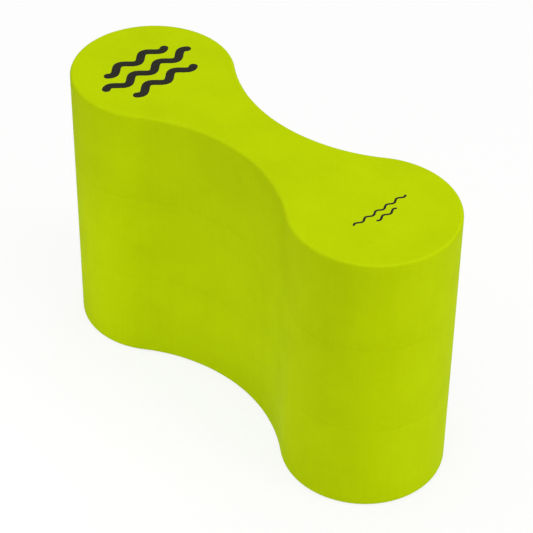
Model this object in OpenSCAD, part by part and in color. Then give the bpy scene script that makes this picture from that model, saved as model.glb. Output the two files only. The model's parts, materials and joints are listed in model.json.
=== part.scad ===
// Pull buoy: a figure-eight float of closed-cell foam that a swimmer grips between the thighs.
// Three foam sheets are stacked, bonded with thin adhesive films and contour-cut to one outline.
// X runs from lobe to lobe, Y across the waist and Z up the stack. The origin is the middle of the base.

/* [Outline] */
// Radius of the two round lobes
lobe_r = 41; // [34:0.5:50]
// Radius of the hollow that each thigh rests in
hollow_r = 86.5; // [60:0.5:130]
// Width of the narrow waist at the middle
waist_w = 31; // [20:0.5:54]

/* [Foam stack] */
// Thickness of the base sheet
lower_sheet_t = 50; // [20:0.5:70]
// Thickness of the middle sheet
middle_sheet_t = 50; // [20:0.5:70]
// Thickness of the top sheet
upper_sheet_t = 50; // [20:0.5:70]
// Radius of the eased arris round the base and the top
arris_r = 1.5; // [0.5:0.25:8]

/* [Adhesive] */
// Thickness of each adhesive film
film_t = 0.2; // [0.1:0.05:0.6]
// How far each film stops short of the cut foam face
film_setback = 0.4; // [0.1:0.05:2]

/* [Hidden] */
$fn = 128;

foam_green = [0.72, 0.82, 0.05];
film_amber = [0.60, 0.62, 0.12];

// Each hollow touches both lobes, so the distance out to a lobe centre follows from the three outline sizes.
half_waist = waist_w / 2;
hollow_centre_y = half_waist + hollow_r;
half_span = sqrt((lobe_r + hollow_r) ^ 2 - hollow_centre_y ^ 2);

// That distance in whole microns and the rest. A lobe moved out in these two steps keeps every digit of it.
micron = 0.001;
half_span_whole = floor(half_span / micron) * micron;
half_span_rest = half_span - half_span_whole;

// How far a cutting tool runs past the face that it cuts
overcut = 1;

// Heights of the pieces in the stack, from the base up
lower_film_z = lower_sheet_t;
middle_sheet_z = lower_film_z + film_t;
upper_film_z = middle_sheet_z + middle_sheet_t;
upper_sheet_z = upper_film_z + film_t;

// Quarter disc that fills the corner between two walls of a section
module quarter_disc(radius) {
    intersection() {
        circle(radius);
        square(radius);
    }
}

// Section of a lobe from its axis to its wall, with a quarter-round arris at the top
module lobe_section(radius, height, arris) {
    square([radius, height - arris]);
    if (arris > 0) {
        translate([0, height - arris])
            square([radius - arris, arris]);
        translate([radius - arris, height - arris])
            quarter_disc(arris);
    }
}

// Section, from its axis outwards, of the round tool that hollows one flank and eases its top edge
module flank_tool_section(radius, height, arris) {
    translate([0, -overcut])
        square([radius, height - arris + overcut]);
    difference() {
        translate([0, height - arris])
            square([radius + arris, arris + overcut]);
        translate([radius + arris, height - arris])
            circle(arris);
    }
}

// Diamond between the lobe centres and the hollow centres. Its sides cross the outline where
// a lobe touches a hollow, so the waist ends exactly at the blend.
module waist_blank(height) {
    linear_extrude(height)
        polygon([[half_span, 0], [0, hollow_centre_y], [-half_span, 0], [0, -hollow_centre_y]]);
}

// Waist of the block: the diamond, hollowed on both flanks
module waist(radius, height, arris) {
    difference() {
        waist_blank(height);
        for (side = [-1, 1])
            translate([0, side * hollow_centre_y, 0])
                rotate_extrude()
                    flank_tool_section(radius, height, arris);
    }
}

// Round end of the block, run on inside the waist
module lobe(radius, height, arris) {
    translate([half_span_whole, 0, 0])
        translate([half_span_rest, 0, 0])
            rotate_extrude()
                lobe_section(radius, height, arris);
}

// One layer of the figure-eight block, held back from the outline by inset, with an eased top edge
module layer(height, inset = 0, arris = 0) {
    union() {
        waist(hollow_r + inset, height, arris);
        for (turn = [0, 180])
            rotate([0, 0, turn])
                lobe(lobe_r - inset, height, arris);
    }
}

module lower_foam_sheet() {
    color(foam_green)
        translate([0, 0, lower_sheet_t])
            mirror([0, 0, 1])
                layer(lower_sheet_t, arris = arris_r);
}

module lower_adhesive_film() {
    color(film_amber)
        translate([0, 0, lower_film_z])
            layer(film_t, inset = film_setback);
}

module middle_foam_sheet() {
    color(foam_green)
        translate([0, 0, middle_sheet_z])
            layer(middle_sheet_t);
}

module upper_adhesive_film() {
    color(film_amber)
        translate([0, 0, upper_film_z])
            layer(film_t, inset = film_setback);
}

module upper_foam_sheet() {
    color(foam_green)
        translate([0, 0, upper_sheet_z])
            layer(upper_sheet_t, arris = arris_r);
}

lower_foam_sheet();
lower_adhesive_film();
middle_foam_sheet();
upper_adhesive_film();
upper_foam_sheet();
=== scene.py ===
import json
import math

import bmesh
import bpy
import numpy as np
from mathutils import Matrix, Vector


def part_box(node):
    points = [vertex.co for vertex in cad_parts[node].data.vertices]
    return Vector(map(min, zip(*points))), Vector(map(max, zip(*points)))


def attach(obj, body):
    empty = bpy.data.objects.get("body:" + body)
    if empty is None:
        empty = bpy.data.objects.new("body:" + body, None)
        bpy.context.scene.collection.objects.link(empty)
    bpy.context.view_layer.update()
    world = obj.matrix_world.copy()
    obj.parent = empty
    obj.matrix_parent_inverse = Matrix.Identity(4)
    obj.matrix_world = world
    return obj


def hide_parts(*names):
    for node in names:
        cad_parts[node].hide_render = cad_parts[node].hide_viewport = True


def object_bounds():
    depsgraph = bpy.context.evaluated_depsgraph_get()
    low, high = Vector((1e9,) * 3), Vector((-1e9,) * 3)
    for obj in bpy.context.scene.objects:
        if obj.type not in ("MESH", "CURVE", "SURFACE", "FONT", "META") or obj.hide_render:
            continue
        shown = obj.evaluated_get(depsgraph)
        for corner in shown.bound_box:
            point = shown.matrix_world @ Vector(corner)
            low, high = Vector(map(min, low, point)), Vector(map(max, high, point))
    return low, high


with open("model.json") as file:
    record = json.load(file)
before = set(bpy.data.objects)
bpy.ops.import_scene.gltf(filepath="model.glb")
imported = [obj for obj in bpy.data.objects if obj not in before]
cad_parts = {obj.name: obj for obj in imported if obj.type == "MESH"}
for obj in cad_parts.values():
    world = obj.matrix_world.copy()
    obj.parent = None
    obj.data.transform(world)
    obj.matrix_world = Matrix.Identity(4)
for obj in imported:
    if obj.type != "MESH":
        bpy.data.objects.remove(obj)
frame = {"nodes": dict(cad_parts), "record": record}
cadLow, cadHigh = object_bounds()
scene = bpy.context.scene
scene.view_settings.view_transform = "Standard"
print("frame loaded:", ", ".join(sorted(frame["nodes"])))

mm = 0.001

# the outline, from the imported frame

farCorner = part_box("middle_foam_sheet")[1]
lobeRadius = round(farCorner.y, 4)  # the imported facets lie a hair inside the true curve
halfSpan = round(farCorner.x, 4) - lobeRadius
thighRest = next(m for m in frame["record"]["mounts"] if m["name"] == "front_thigh_rest")
halfWaist = abs(thighRest["pos_m"][1])
# the hollow touches both lobes, so its radius follows from the lobes and the waist
hollowRadius = (halfSpan**2 + halfWaist**2 - lobeRadius**2) / (2 * (lobeRadius - halfWaist))
hollowCentre = halfWaist + hollowRadius
blendAngle = math.atan2(hollowCentre, halfSpan)

outline = dict(lobeColumns=224, hollowColumns=136)


def outlineColumns(lobeColumns, hollowColumns):
    # Four arcs in turn: right lobe, back hollow, left lobe, front hollow. A point is the arc's centre plus its
    # radius along its angle. Side is 1 where the foam is inside the arc and -1 where it is outside.
    sweep = math.pi - blendAngle
    arcs = [
        (halfSpan, 0, lobeRadius, 1, -sweep, sweep, lobeColumns),
        (0, hollowCentre, hollowRadius, -1, -blendAngle, blendAngle - math.pi, hollowColumns),
        (-halfSpan, 0, lobeRadius, 1, math.pi - sweep, math.pi + sweep, lobeColumns),
        (0, -hollowCentre, hollowRadius, -1, math.pi - blendAngle, blendAngle, hollowColumns),
    ]
    counts = [arc[6] for arc in arcs]
    spread = [np.repeat([arc[k] for arc in arcs], counts).astype(float) for k in range(4)]
    angle = np.concatenate([np.linspace(a, b, n, endpoint=False) for *_, a, b, n in arcs])
    stride = np.concatenate([np.full(n, r * abs(b - a) / n) for _, _, r, _, a, b, n in arcs])
    columns = dict(zip(["centreX", "centreY", "radius", "side"], spread))
    columns.update(cos=np.cos(angle), sin=np.sin(angle))
    columns["along"] = np.concatenate([[0], np.cumsum(stride)[:-1]])
    columns["length"] = stride.sum()
    # the spine is where the inward normal meets the long axis: a lobe's centre, or a point between the centres
    reach = np.abs(columns["centreY"]) / np.maximum(np.abs(columns["sin"]), 1e-9)
    columns["spineX"] = np.where(columns["side"] > 0, columns["centreX"], reach * columns["cos"])
    return columns


columns = outlineColumns(**outline)
print("outline: %.1f mm round" % (columns["length"] / mm))

relief = dict(
    waves=[(4, 0.5), (7, 0.6), (11, 0.5), (17, 0.3), (29, 0.2)],  # waves round the outline and their weights
    drift=26.0,  # how fast the waves lean with height, radians a metre
    depth=0.16 * mm,
    rippleWaves=[83, 97, 118, 131],  # fine corduroy that the cutting blade leaves
    rippleDepth=0.008 * mm,
    swellWaves=3,  # how often the ripples swell and fade round the outline
    swellStart=1.1,
    seamWaves=(9, 21, 34, 55),  # along a glued joint
    faceWaves=[(95, 40, 0.4), (-60, 130, 2.0), (170, -90, 4.1), (35, 210, 5.2)],  # pace on X, on Y, and start
    faceDepth=0.05 * mm,
    seed=11,
)


def wallRelief(along, height):
    # Depth of the cut wall below the true outline: half of one plus a weighted sum of sines round the outline,
    # each leaning with height, plus upright ripples whose strength swells and fades round the outline.
    draw = np.random.default_rng(relief["seed"])
    turn = 2 * math.pi * along / columns["length"]
    weights = np.array([w for _, w in relief["waves"]])
    slow = sum(
        w * np.sin(n * turn + draw.uniform(0, 6.28) + draw.uniform(-1, 1) * relief["drift"] * height)
        for n, w in relief["waves"]
    ) / weights.sum()
    ripples = [np.sin(n * turn + draw.uniform(0, 6.28)) for n in relief["rippleWaves"]]
    swell = 0.5 + 0.5 * np.sin(relief["swellWaves"] * turn + relief["swellStart"])
    fine = 1 + sum(ripples) / len(ripples) * swell
    return relief["depth"] * (0.5 + 0.5 * slow) + relief["rippleDepth"] * fine


def seamWander(phase):
    # How a glued joint varies round the outline: the mean of a few sines, from -1 to 1.
    turn = 2 * math.pi * columns["along"] / columns["length"]
    return sum(np.sin(n * turn + phase * n) for n in relief["seamWaves"]) / len(relief["seamWaves"])


def faceRelief(x, y):
    # Depth of a flat face below its true plane: half of one plus the mean of a few slanted sine waves.
    mean = sum(np.sin(a * x + b * y + c) for a, b, c in relief["faceWaves"]) / len(relief["faceWaves"])
    return relief["faceDepth"] * (0.5 + 0.5 * mean)


# mesh helpers

bakeMap = dict(
    name="OFBake",  # the name of the map each foam sheet gets
    side=325 * mm,  # how much foam fits across the map
    gap=4 * mm,
    rightCut=math.radians(60),  # where the wall is cut into two strips, on the lobes, away from the camera
    leftCut=math.radians(210),
)


def columnAt(lobeX, angle):
    # the column nearest to a lobe's point at that angle
    awayX = columns["centreX"] + columns["radius"] * columns["cos"] - lobeX - lobeRadius * math.cos(angle)
    awayY = columns["centreY"] + columns["radius"] * columns["sin"] - lobeRadius * math.sin(angle)
    return np.argmin(np.hypot(awayX, awayY))


def mapPlaces(x, y, profile, lowRow, highRow):
    # Where the corners of the grid's quads lie on the map. Between the two rows the wall unrolls into two strips,
    # the way along the outline by the way up the profile. The faces lie flat beside them, the lower turned over.
    rows, count = x.shape
    right, left = columnAt(halfSpan, bakeMap["rightCut"]), columnAt(-halfSpan, bakeMap["leftCut"])
    column = np.arange(count)
    inFirst = (column >= right) & (column < left)
    along = columns["along"]
    run = (along - along[np.where(inFirst, right, left)]) % columns["length"]
    ahead = run + np.diff(np.append(along, columns["length"]))
    tall = profile[highRow] - profile[lowRow]
    rise = profile[:, None] - profile[lowRow] + np.where(inFirst, 0, tall + bakeMap["gap"])
    faceLow = 2 * (tall + bakeMap["gap"]) + lobeRadius
    faceHigh = faceLow + 2 * lobeRadius + bakeMap["gap"]

    def corners(value):
        after = np.roll(value, -1, axis=1)
        return np.stack([value[:-1], after[:-1], after[1:], value[1:]], axis=-1)

    part = np.arange(rows - 1)[:, None, None]
    strip = np.broadcast_to(np.stack([run, ahead, ahead, run], axis=-1), (rows - 1, count, 4))
    height = np.stack([rise[:-1], rise[:-1], rise[1:], rise[1:]], axis=-1)
    reach = halfSpan + lobeRadius
    isLow, isHigh = part < lowRow, part >= highRow
    u = np.where(isLow, reach - corners(x), np.where(isHigh, reach + corners(x), strip))
    v = np.where(isLow, faceLow + corners(y), np.where(isHigh, faceHigh + corners(y), height))
    return (np.stack([u, v], axis=-1) + bakeMap["gap"]) / bakeMap["side"]


def gridMesh(name, x, y, z, values=None, places=None):
    # Rows by columns of points, joined into quads and closed round the columns; values go to point attributes,
    # and places to the map.
    rows, count = x.shape
    index = np.arange(rows * count).reshape(rows, count)
    after = np.roll(index, -1, axis=1)
    quads = np.stack([index[:-1], after[:-1], after[1:], index[1:]], axis=-1).reshape(-1, 4)
    mesh = bpy.data.meshes.new(name)
    mesh.from_pydata(np.stack([x, y, z], axis=-1).reshape(-1, 3).tolist(), [], quads.tolist())
    for key, value in (values or {}).items():
        layer = mesh.attributes.new(key, "FLOAT", "POINT")
        layer.data.foreach_set("value", np.broadcast_to(value, x.shape).astype(np.float32).ravel())
    if places is not None:
        layer = mesh.uv_layers.new(name=bakeMap["name"])
        layer.uv.foreach_set("vector", places.astype(np.float32).ravel())
    return mesh


def finishMesh(mesh, weld=1e-6):
    # points that meet are welded, which closes the poles, and faces turn outwards and are shaded smooth
    work = bmesh.new()
    work.from_mesh(mesh)
    bmesh.ops.remove_doubles(work, verts=work.verts, dist=weld)
    bmesh.ops.dissolve_degenerate(work, edges=work.edges, dist=weld / 10)
    bmesh.ops.recalc_face_normals(work, faces=work.faces)
    work.to_mesh(mesh)
    work.free()
    mesh.polygons.foreach_set("use_smooth", np.ones(len(mesh.polygons), bool))
    mesh.update()
    return mesh


def addPiece(name, mesh, material):
    piece = bpy.data.objects.new(name, mesh)
    scene.collection.objects.link(piece)
    mesh.materials.append(material)
    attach(piece, "root")
    return piece


# node helpers


def newMaterial(name):
    material = bpy.data.materials.new(name)
    material.use_nodes = True
    material.node_tree.nodes.clear()
    return material


def addNode(tree, kind, inputs=None, **settings):
    made = tree.nodes.new(kind)
    for key, value in settings.items():
        setattr(made, key, value)
    for key, value in (inputs or {}).items():
        if isinstance(value, bpy.types.NodeSocket):
            tree.links.new(value, made.inputs[key])
        else:
            made.inputs[key].default_value = value
    return made


def mathNode(tree, operation, a, b=0.0, c=0.0, clamp=False):
    return addNode(tree, "ShaderNodeMath", {0: a, 1: b, 2: c}, operation=operation, use_clamp=clamp).outputs[0]


def spreadRound(tree, value, middle, spread):
    # a value from 0 to 1 becomes one that lies within half the spread of the middle
    return mathNode(tree, "MULTIPLY_ADD", value, spread, middle - spread / 2)


def mixColour(tree, factor, a, b):
    return addNode(tree, "ShaderNodeMix", {0: factor, 6: a, 7: b}, data_type="RGBA").outputs[2]


def attribute(tree, name):
    return addNode(tree, "ShaderNodeAttribute", attribute_name=name).outputs["Fac"]


def stretched(tree, vector, scale):
    return addNode(tree, "ShaderNodeMapping", {"Vector": vector, "Scale": scale}).outputs[0]


def noise(tree, vector, scale, detail=2.0, roughness=0.5):
    sockets = {"Vector": vector, "Scale": scale, "Detail": detail, "Roughness": roughness}
    return addNode(tree, "ShaderNodeTexNoise", sockets).outputs[0]


# lime foam

limeFoam = dict(
    colour=(0.53, 0.686, 0.0008, 1),
    shade=(0.477, 0.619, 0.0006, 1),  # where the foam is a touch denser
    paleWearAndHighlight=(0.58, 0.73, 0.012, 1),  # rubbed edges, and a painted highlight along the arris
    mottle=dict(scale=38.0, detail=3.0, roughness=0.55),
    mottleShare=1.7,
    speckle=dict(scale=420.0, detail=3.0, roughness=0.6),
    speckleShare=0.6,
    streakScale=(620.0, 620.0, 7.0),  # upright cutting streaks
    streakShare=0.45,
    cellScale=1900.0,  # closed cells of about half a millimetre
    wearAndHighlightShare=0.2,
    wearAndHighlightPatches=0.8,  # how patchy the rubbed, painted-highlight edges are
    cellHeight=0.045,  # heights of the bump, in millimetres
    grainHeight=0.03,
    streakHeight=0.012,
    roughness=0.62,
    roughSpread=0.16,
    specular=0.012,
)


def foamMaterial(look):
    material = newMaterial("limeFoam")
    tree = material.node_tree
    place = addNode(tree, "ShaderNodeTexCoord").outputs["Object"]
    wall = attribute(tree, "wallShare")
    edge = attribute(tree, "wearAndHighlightShare")
    # painted bounce light: the lower sheet is painted lighter and the upper darker
    paintedBounce = attribute(tree, "paintedBounceLight")

    mottle = noise(tree, place, **look["mottle"])
    speckle = noise(tree, place, **look["speckle"])
    streak = noise(tree, stretched(tree, place, look["streakScale"]), scale=1.0)
    cells = addNode(tree, "ShaderNodeTexVoronoi", {"Vector": place, "Scale": look["cellScale"]}, feature="F1")

    # how much of the denser shade shows: mottling, a little speckle, streaks on the wall, and the painted bounce
    # light that makes the lower sheet lighter and the upper darker
    streakOnWall = mathNode(tree, "MULTIPLY", mathNode(tree, "SUBTRACT", streak, 0.5), wall)
    share = mathNode(tree, "MULTIPLY_ADD", mathNode(tree, "SUBTRACT", mottle, 0.5), look["mottleShare"], 0.5)
    fromMiddle = mathNode(tree, "SUBTRACT", speckle, 0.5)
    share = mathNode(tree, "MULTIPLY_ADD", fromMiddle, look["speckleShare"], share)
    share = mathNode(tree, "MULTIPLY_ADD", streakOnWall, look["streakShare"], share)
    share = mathNode(tree, "ADD", share, paintedBounce, clamp=True)
    colour = mixColour(tree, share, look["colour"], look["shade"])

    # the pale edges are partly rubbed wear and partly a painted highlight along the arris
    wornAndHighlit = spreadRound(tree, speckle, 1.0, look["wearAndHighlightPatches"])
    wornAndHighlit = mathNode(tree, "MULTIPLY", mathNode(tree, "MULTIPLY", edge, wornAndHighlit), look["wearAndHighlightShare"], clamp=True)
    colour = mixColour(tree, wornAndHighlit, colour, look["paleWearAndHighlight"])

    rough = spreadRound(tree, speckle, look["roughness"], look["roughSpread"])
    height = mathNode(tree, "MULTIPLY", cells.outputs["Distance"], look["cellHeight"])
    height = mathNode(tree, "MULTIPLY_ADD", speckle, look["grainHeight"], height)
    height = mathNode(tree, "MULTIPLY_ADD", streakOnWall, look["streakHeight"], height)
    bump = addNode(tree, "ShaderNodeBump", {"Height": height, "Strength": 1.0, "Distance": mm})

    sockets = {"Base Color": colour, "Roughness": rough, "Normal": bump.outputs[0]}
    sockets["Specular IOR Level"] = look["specular"]
    shader = addNode(tree, "ShaderNodeBsdfPrincipled", sockets)
    addNode(tree, "ShaderNodeOutputMaterial", {"Surface": shader.outputs[0]})
    return material


# foam sheets

foamSheets = dict(
    arris=1.5 * mm,
    arrisSteps=9,
    rim=0.5 * mm,  # flat rim beside the arris, so that its round stays crisp
    wearAndHighlightTurn=0.4,  # where on the arris the wear and painted highlight are strongest, and how far they spread, in radians
    wearAndHighlightSpread=0.4,
    streakFade=0.75 * mm,  # the wall's streaks fade out over this much of the arris
    wallStep=1.5 * mm,
    capRings=12,
    topDrop=0.05 * mm,  # the top sits this far inside, which leaves room for ink
    baseDrop=0.01 * mm,
    lip=dict(
        inner=0.42 * mm,  # where the rim starts to swell, and where it has swollen, in from the wall
        outer=0.34 * mm,
        swell=0.09 * mm,  # how far the rim stands past its face
        round=0.03 * mm,
        roundSteps=5,
        stretch=0.12 * mm,  # where the straight stretch ends, in from the face
        wander=0.03 * mm,
        slack=0.55,  # mean share of the wander, and how much it varies
        sway=0.45,
    ),
    paintedBounceTones=dict(lower_foam_sheet=-0.1, middle_foam_sheet=0.0, upper_foam_sheet=0.1),  # painted bounce light: the lower sheet painted lighter and the upper darker, as if lit from the floor
    # the wander's phase at each sheet's lower and upper joint
    phases=dict(lower_foam_sheet=(0.0, 0.3), middle_foam_sheet=(0.5, 1.1), upper_foam_sheet=(1.6, 0.0)),
)


def arrisEdge(look):
    # From face to wall: a flat rim, then a quarter circle. Depth is in from the wall, rise is in from the face.
    # The rubbed wear and painted highlight form a bell over the circle's turn that peaks near the face.
    turn = np.linspace(0, math.pi / 2, look["arrisSteps"])
    depth = np.append(look["arris"] + look["rim"], look["arris"] * (1 - np.sin(turn)))
    rise = np.append(0, look["arris"] * (1 - np.cos(turn)))
    wearAndHighlight = np.append(0, np.exp(-(((turn - look["wearAndHighlightTurn"]) / look["wearAndHighlightSpread"]) ** 2)))
    return depth, rise, wearAndHighlight, 0 * depth


def lipEdge(look):
    # From face to wall at a glued joint: past the film the soft rim swells beyond its face and all but closes the
    # joint, with a tiny quarter circle at the outside and a short straight stretch that keeps its shading crisp.
    # Give is how far a row follows the joint's wander.
    lip = look["lip"]
    turn = np.linspace(0, math.pi / 2, lip["roundSteps"])
    depth = np.concatenate([[lip["inner"], lip["outer"]], lip["round"] * (1 - np.sin(turn)), [0]])
    roundRise = lip["round"] * (1 - np.cos(turn)) - lip["swell"]
    rise = np.concatenate([[0, -lip["swell"]], roundRise, [lip["stretch"]]])
    give = np.concatenate([[0, 1], 1 - turn / math.pi * 2, [0]]) * lip["wander"]
    return depth, rise, 0 * depth, give


def sheetRows(look, lowEdge, highEdge, low, high):
    # Rows from the middle of the underside, out to the rim, up the wall and back to the middle of the top.
    # Pull is 1 on the spine and 0 from the rim outwards, the wear and painted highlight are how worn and how
    # highlit a row is, and the gives are its wander.
    wallLow, wallHigh = low + lowEdge[1][-1], high - highEdge[1][-1]
    wall = np.linspace(wallLow, wallHigh, int((wallHigh - wallLow) / look["wallStep"]))[1:-1]
    rings = np.linspace(1, 0, look["capRings"], endpoint=False)
    depth = [rings * 0 + lowEdge[0][0], lowEdge[0], wall * 0, highEdge[0][::-1], rings * 0 + highEdge[0][0]]
    height = [rings * 0 + low, low + lowEdge[1], wall, high - highEdge[1][::-1], rings * 0 + high]
    pull = [rings, lowEdge[0] * 0, wall * 0, highEdge[0] * 0, rings[::-1]]
    wearAndHighlight = [rings * 0, lowEdge[2], wall * 0, highEdge[2][::-1], rings * 0]
    giveLow = [rings * 0, lowEdge[3], wall * 0, highEdge[3] * 0, rings * 0]
    giveHigh = [rings * 0, lowEdge[3] * 0, wall * 0, highEdge[3][::-1], rings * 0]
    return [np.concatenate(part)[:, None] for part in (depth, height, pull, wearAndHighlight, giveLow, giveHigh)]


def sweepOutline(depth, height, pull):
    # A point is the arc's centre plus its radius, less its depth on the foam's side, along the column's angle,
    # drawn towards the spine by its pull.
    radius = columns["radius"] - columns["side"] * depth
    x = columns["centreX"] + radius * columns["cos"]
    y = columns["centreY"] + radius * columns["sin"]
    x = x + (columns["spineX"] - x) * pull
    y = y * (1 - pull)
    return x, y, height + 0 * x


def foamSheet(node, name, lowEdge, highEdge, look, material):
    # The rows swept round the outline, each sunk below it by the wall's relief, with the joints' wander on top.
    low, high = (corner.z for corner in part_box(node))
    lowIsFace, highIsFace = lowEdge is arrisEdge, highEdge is arrisEdge
    bottom = low + look["baseDrop"] * lowIsFace
    top = high - look["topDrop"] * highIsFace
    depth, height, pull, wearAndHighlight, giveLow, giveHigh = sheetRows(look, lowEdge(look), highEdge(look), bottom, top)
    x, y, z = sweepOutline(depth + wallRelief(columns["along"], height), height, pull)
    lowSway, highSway = (look["lip"]["sway"] * seamWander(phase) for phase in look["phases"][node])
    slack = look["lip"]["slack"]
    z = z + giveLow * (slack - lowSway) - giveHigh * (slack - highSway)

    # the outer faces dip a little; the dip fades out across the arris
    onTop = np.clip((z - top + look["arris"]) / look["arris"], 0, 1) * highIsFace
    onBase = np.clip((bottom + look["arris"] - z) / look["arris"], 0, 1) * lowIsFace
    z = z + faceRelief(x, y) * (onBase - onTop)

    wallShare = np.clip(1 - depth / look["streakFade"], 0, 1) * (pull == 0)
    values = dict(wallShare=wallShare, wearAndHighlightShare=wearAndHighlight, paintedBounceLight=look["paintedBounceTones"][node])

    # on the map, a face reaches to the middle of its arris, or to the round of its lip
    profile = np.append(0, np.cumsum(np.hypot(np.diff(depth[:, 0]), np.diff(height[:, 0]))))
    onFace = [look["capRings"] + (look["arrisSteps"] // 2 + 1 if flat else 2) for flat in (lowIsFace, highIsFace)]
    places = mapPlaces(x, y, profile, onFace[0], len(profile) - 1 - onFace[1])

    piece = addPiece(name, finishMesh(gridMesh(name, x, y, z, values, places)), material)
    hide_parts(node)
    print("%s: %d faces" % (name, len(piece.data.polygons)))


foam = foamMaterial(limeFoam)
foamSheet("lower_foam_sheet", "lowerFoamSheet", arrisEdge, lipEdge, foamSheets, foam)
foamSheet("middle_foam_sheet", "middleFoamSheet", lipEdge, lipEdge, foamSheets, foam)
foamSheet("upper_foam_sheet", "upperFoamSheet", lipEdge, arrisEdge, foamSheets, foam)

# adhesive films between the sheets

glueFilm = dict(
    colour=(0.40, 0.48, 0.03, 1),
    dark=(0.30, 0.34, 0.03, 1),
    setback=0.45 * mm,
    uneven=0.5 * mm,
    capRings=10,
    clear=0.004 * mm,  # kept off the foam faces
    blot=dict(scale=90.0, detail=4.0, roughness=0.6),
    blotHeight=0.1 * mm,
    blotStrength=0.4,
    roughness=0.35,
    roughSpread=0.2,
)


def glueMaterial(look):
    material = newMaterial("contactGlue")
    tree = material.node_tree
    place = addNode(tree, "ShaderNodeTexCoord").outputs["Object"]
    blot = noise(tree, place, **look["blot"])
    colour = mixColour(tree, blot, look["colour"], look["dark"])
    rough = spreadRound(tree, blot, look["roughness"], look["roughSpread"])
    grain = {"Height": blot, "Strength": look["blotStrength"], "Distance": look["blotHeight"]}
    bump = addNode(tree, "ShaderNodeBump", grain)
    sockets = {"Base Color": colour, "Roughness": rough, "Normal": bump.outputs[0]}
    shader = addNode(tree, "ShaderNodeBsdfPrincipled", sockets)
    addNode(tree, "ShaderNodeOutputMaterial", {"Surface": shader.outputs[0]})
    return material


def adhesiveFilm(node, name, look, material, phase):
    # A thin plate whose edge wanders round the outline between the setback and the setback plus the unevenness.
    low, high = (corner.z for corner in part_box(node))
    low, high = low + look["clear"], high - look["clear"]
    edge = look["setback"] + look["uneven"] * (0.5 + 0.5 * seamWander(phase))
    rings = np.linspace(1, 0, look["capRings"])
    pull = np.concatenate([rings, rings[::-1]])[:, None]
    height = np.repeat([low, high], len(rings))[:, None]
    mesh = finishMesh(gridMesh(name, *sweepOutline(edge + 0 * pull, height, pull)))
    piece = addPiece(name, mesh, material)
    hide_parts(node)
    print("%s: %d faces" % (name, len(mesh.polygons)))


glue = glueMaterial(glueFilm)
adhesiveFilm("lower_adhesive_film", "lowerAdhesiveFilm", glueFilm, glue, 0.7)
adhesiveFilm("upper_adhesive_film", "upperAdhesiveFilm", glueFilm, glue, 1.9)

# printed waves on the top face

inkLook = dict(
    colour=(0.011, 0.0102, 0.008, 1),
    worn=(0.026, 0.025, 0.013, 1),
    wornStart=-0.65,  # the worn share before the fleck and the cloud add to it
    fleck=dict(scale=900.0, detail=3.0, roughness=0.6),
    fleckShare=1.6,
    fleckHeight=0.03 * mm,
    fleckStrength=0.5,
    cloud=dict(scale=120.0, detail=2.0, roughness=0.5),
    cloudShare=0.5,
    roughness=0.6,
    roughSpread=0.2,
    specular=0.05,
)
topInk = dict(
    thick=0.03 * mm,
    sunk=0.02 * mm,
    steps=160,
    # the section of a band: shares of its half width, and of its full height
    across=np.array([-1, -0.98, -0.5, 0, 0.5, 0.98, 1, 1, 0, -1.0]),
    level=np.array([0.4, 1, 1, 1, 1, 1, 0.4, 0, 0, 0.0]),
    # a band's centre from its lobe's axis, length, wave height, wave length and half width, in millimetres, and
    # its wave's start; the lengths end each band halfway between crests, where its round end stays even
    leftLobe=[
        (-12.0, -1.5, 40, 2.4, 16, 2.2, math.pi / 2),
        (-1.0, -1.5, 56, 2.4, 16, 2.2, math.pi / 2),
        (10.0, -1.5, 40, 2.4, 16, 2.2, math.pi / 2),
    ],
    rightLobe=[(2.2, 1.4, 34, 0.75, 6.8, 0.55, 0.0), (6.6, 1.4, 13.6, 0.75, 6.8, 0.55, 0.0)],
)


def inkMaterial(look):
    material = newMaterial("darkInk")
    tree = material.node_tree
    place = addNode(tree, "ShaderNodeTexCoord").outputs["Object"]
    fleck = noise(tree, place, **look["fleck"])
    cloud = noise(tree, place, **look["cloud"])
    share = mathNode(tree, "MULTIPLY_ADD", fleck, look["fleckShare"], look["wornStart"])
    share = mathNode(tree, "MULTIPLY_ADD", cloud, look["cloudShare"], share, clamp=True)
    colour = mixColour(tree, share, look["colour"], look["worn"])
    rough = spreadRound(tree, fleck, look["roughness"], look["roughSpread"])
    grain = {"Height": fleck, "Strength": look["fleckStrength"], "Distance": look["fleckHeight"]}
    bump = addNode(tree, "ShaderNodeBump", grain)
    sockets = {"Base Color": colour, "Roughness": rough, "Normal": bump.outputs[0]}
    sockets["Specular IOR Level"] = look["specular"]
    shader = addNode(tree, "ShaderNodeBsdfPrincipled", sockets)
    addNode(tree, "ShaderNodeOutputMaterial", {"Surface": shader.outputs[0]})
    return material


def inkBand(centreX, centreY, length, lift, wave, halfWidth, start, top):
    # A flat section carried along a sine path that runs across the float: along is the distance on Y, the path's
    # X is the lift times the sine, and the half width closes in a semicircle over the run to the nearer end.
    along = np.sin(np.linspace(-math.pi / 2, math.pi / 2, topInk["steps"])) * length / 2
    phase = 2 * math.pi * along / wave + start
    pathX, slope = centreX + lift * np.sin(phase), lift * 2 * math.pi / wave * np.cos(phase)
    size = np.sqrt(1 + slope**2)
    run = np.append(0, np.cumsum((size[1:] + size[:-1]) / 2 * np.diff(along)))
    past = np.clip(1 - np.minimum(run, run[-1] - run) / halfWidth, 0, 1)
    half = halfWidth * np.sqrt(1 - past**2)
    across = half[:, None] * topInk["across"]
    x = pathX[:, None] + across / size[:, None]
    y = centreY + along[:, None] - across * (slope / size)[:, None]
    rise = -topInk["sunk"] + (topInk["thick"] + topInk["sunk"]) * topInk["level"]
    return x, y, top - faceRelief(x, y) + rise


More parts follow.
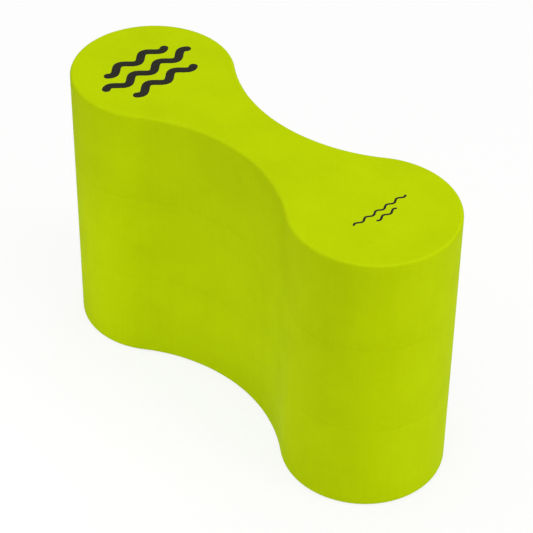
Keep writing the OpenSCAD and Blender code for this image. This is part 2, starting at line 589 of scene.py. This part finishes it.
def printedWaves(name, lobeX, bands, material):
    # all of a lobe's bands in one mesh, on the face as it dips
    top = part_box("upper_foam_sheet")[1].z - foamSheets["topDrop"]
    work = bmesh.new()
    for x, y, *rest in bands:
        length, lift, wave, halfWidth = (value * mm for value in rest[:4])
        band = gridMesh("band", *inkBand(lobeX + x * mm, y * mm, length, lift, wave, halfWidth, rest[4], top))
        work.from_mesh(band)
        bpy.data.meshes.remove(band)
    mesh = bpy.data.meshes.new(name)
    work.to_mesh(mesh)
    work.free()
    addPiece(name, finishMesh(mesh, weld=1e-7), material)
    print("%s: %d bands" % (name, len(bands)))


ink = inkMaterial(inkLook)
printedWaves("printedWaves", -halfSpan, topInk["leftLobe"], ink)
printedWaves("printedRipples", halfSpan, topInk["rightLobe"], ink)

# floor, world and lights

studio = dict(
    floorSize=6.0,
    floorDrop=0.3 * mm,
    floorColour=(0.92, 0.92, 0.92, 1),
    shadowShare=0.18,  # how much of the floor's own shade the camera sees under the white
    shadowReach=(0.3, 0.8),  # where that share starts to fade, and where it is gone
    world=0.31,
    lamps=[
        # name, place, aim, size, watts
        ("topSoftbox", (0.0, -0.15, 1.6), (0, 0, 0.07), 2.0, 16.6),
        ("rightSoftbox", (1.3, 0.4, 0.6), (0, 0, 0.07), 1.0, 6.9),
        ("frontSoftbox", (0.5, -1.3, 0.5), (0, 0, 0.07), 1.0, 1.7),
        ("backSoftbox", (-0.6, 1.2, 1.0), (0, 0, 0.07), 1.0, 2.0),
        ("lowReflector", (-0.06, -0.18, 0.012), (-0.04, 0, 0.012), 0.22, 0.082),
    ],
)


def seenDirectly(tree):
    # 1 for what the camera sees itself, in a mirror or through glass
    path = addNode(tree, "ShaderNodeLightPath")
    either = mathNode(tree, "MAXIMUM", path.outputs["Is Camera Ray"], path.outputs["Is Glossy Ray"])
    return mathNode(tree, "MAXIMUM", either, path.outputs["Is Transmission Ray"])


def floorMaterial(look):
    material = newMaterial("paleFloor")
    tree = material.node_tree
    plain = addNode(tree, "ShaderNodeBsdfDiffuse", {"Color": look["floorColour"]})
    shade = addNode(tree, "ShaderNodeBsdfDiffuse", {"Color": (1, 1, 1, 1)})
    glow = addNode(tree, "ShaderNodeEmission", {"Color": (1, 1, 1, 1), "Strength": 1.0})
    place = addNode(tree, "ShaderNodeTexCoord").outputs["Object"]
    away = addNode(tree, "ShaderNodeVectorMath", {0: place}, operation="LENGTH").outputs["Value"]
    near, far = look["shadowReach"]
    limits = {"Value": away, "From Min": near, "From Max": far, "To Min": look["shadowShare"], "To Max": 0.0}
    share = addNode(tree, "ShaderNodeMapRange", limits, interpolation_type="SMOOTHSTEP").outputs[0]
    white = addNode(tree, "ShaderNodeMixShader", {0: share, 1: glow.outputs[0], 2: shade.outputs[0]})
    mix = addNode(tree, "ShaderNodeMixShader", {0: seenDirectly(tree), 1: plain.outputs[0], 2: white.outputs[0]})
    addNode(tree, "ShaderNodeOutputMaterial", {"Surface": mix.outputs[0]})
    return material


def layFloor(look):
    half = look["floorSize"] / 2
    corner = np.array([[-1, -1], [1, -1], [1, 1], [-1, 1]]) * half
    points = np.column_stack([corner, np.full(4, cadLow.z - look["floorDrop"])])
    mesh = bpy.data.meshes.new("floor")
    mesh.from_pydata(points.tolist(), [], [(0, 1, 2, 3)])
    mesh.materials.append(floorMaterial(look))
    floor = bpy.data.objects.new("floor", mesh)
    scene.collection.objects.link(floor)


def lightWorld(look):
    world = bpy.data.worlds.new("softWorld")
    world.use_nodes = True
    scene.world = world
    tree = world.node_tree
    tree.nodes.clear()
    light = addNode(tree, "ShaderNodeBackground", {"Color": (1, 1, 1, 1), "Strength": look["world"]})
    seen = addNode(tree, "ShaderNodeBackground", {"Color": (1, 1, 1, 1), "Strength": 1.0})
    mix = addNode(tree, "ShaderNodeMixShader", {0: seenDirectly(tree), 1: light.outputs[0], 2: seen.outputs[0]})
    addNode(tree, "ShaderNodeOutputWorld", {"Surface": mix.outputs[0]})
    for name, place, aim, size, watts in look["lamps"]:
        lamp = bpy.data.lights.new(name, "AREA")
        lamp.shape, lamp.size, lamp.energy = "DISK", size, watts
        holder = bpy.data.objects.new(name, lamp)
        holder.location = place
        holder.visible_camera = False
        holder.rotation_euler = (Vector(aim) - Vector(place)).to_track_quat("-Z", "Y").to_euler()
        scene.collection.objects.link(holder)


layFloor(studio)
lightWorld(studio)
print("studio: %d lamps" % len(studio["lamps"]))

# camera at the photograph's view

shot = dict(
    azimuth=46.02,
    elevation=39.52,
    roll=0.72,
    distance=1.06,
    aim=(-0.0054, 0.01146, 0.06056),
    lens=141.35,
    sensor=36,
    clip=(0.01, 50),
)


def placeCamera(look):
    # back points from the aim to the camera, and the roll turns the picture about it
    around, above, roll = (math.radians(look[key]) for key in ("azimuth", "elevation", "roll"))
    back = Vector((math.sin(around) * math.cos(above), -math.cos(around) * math.cos(above), math.sin(above)))
    right = Vector((math.cos(around), math.sin(around), 0))
    up = back.cross(right)
    tiltedRight = math.cos(roll) * right + math.sin(roll) * up
    tiltedUp = math.cos(roll) * up - math.sin(roll) * right
    turned = Matrix((tiltedRight, tiltedUp, back)).transposed().to_4x4()
    data = bpy.data.cameras.new("photoCamera")
    data.lens = look["lens"]
    data.sensor_width = look["sensor"]
    data.clip_start, data.clip_end = look["clip"]
    camera = bpy.data.objects.new("photoCamera", data)
    camera.matrix_world = Matrix.Translation(Vector(look["aim"]) + back * look["distance"]) @ turned
    scene.collection.objects.link(camera)
    scene.camera = camera


placeCamera(shot)
print("camera placed")
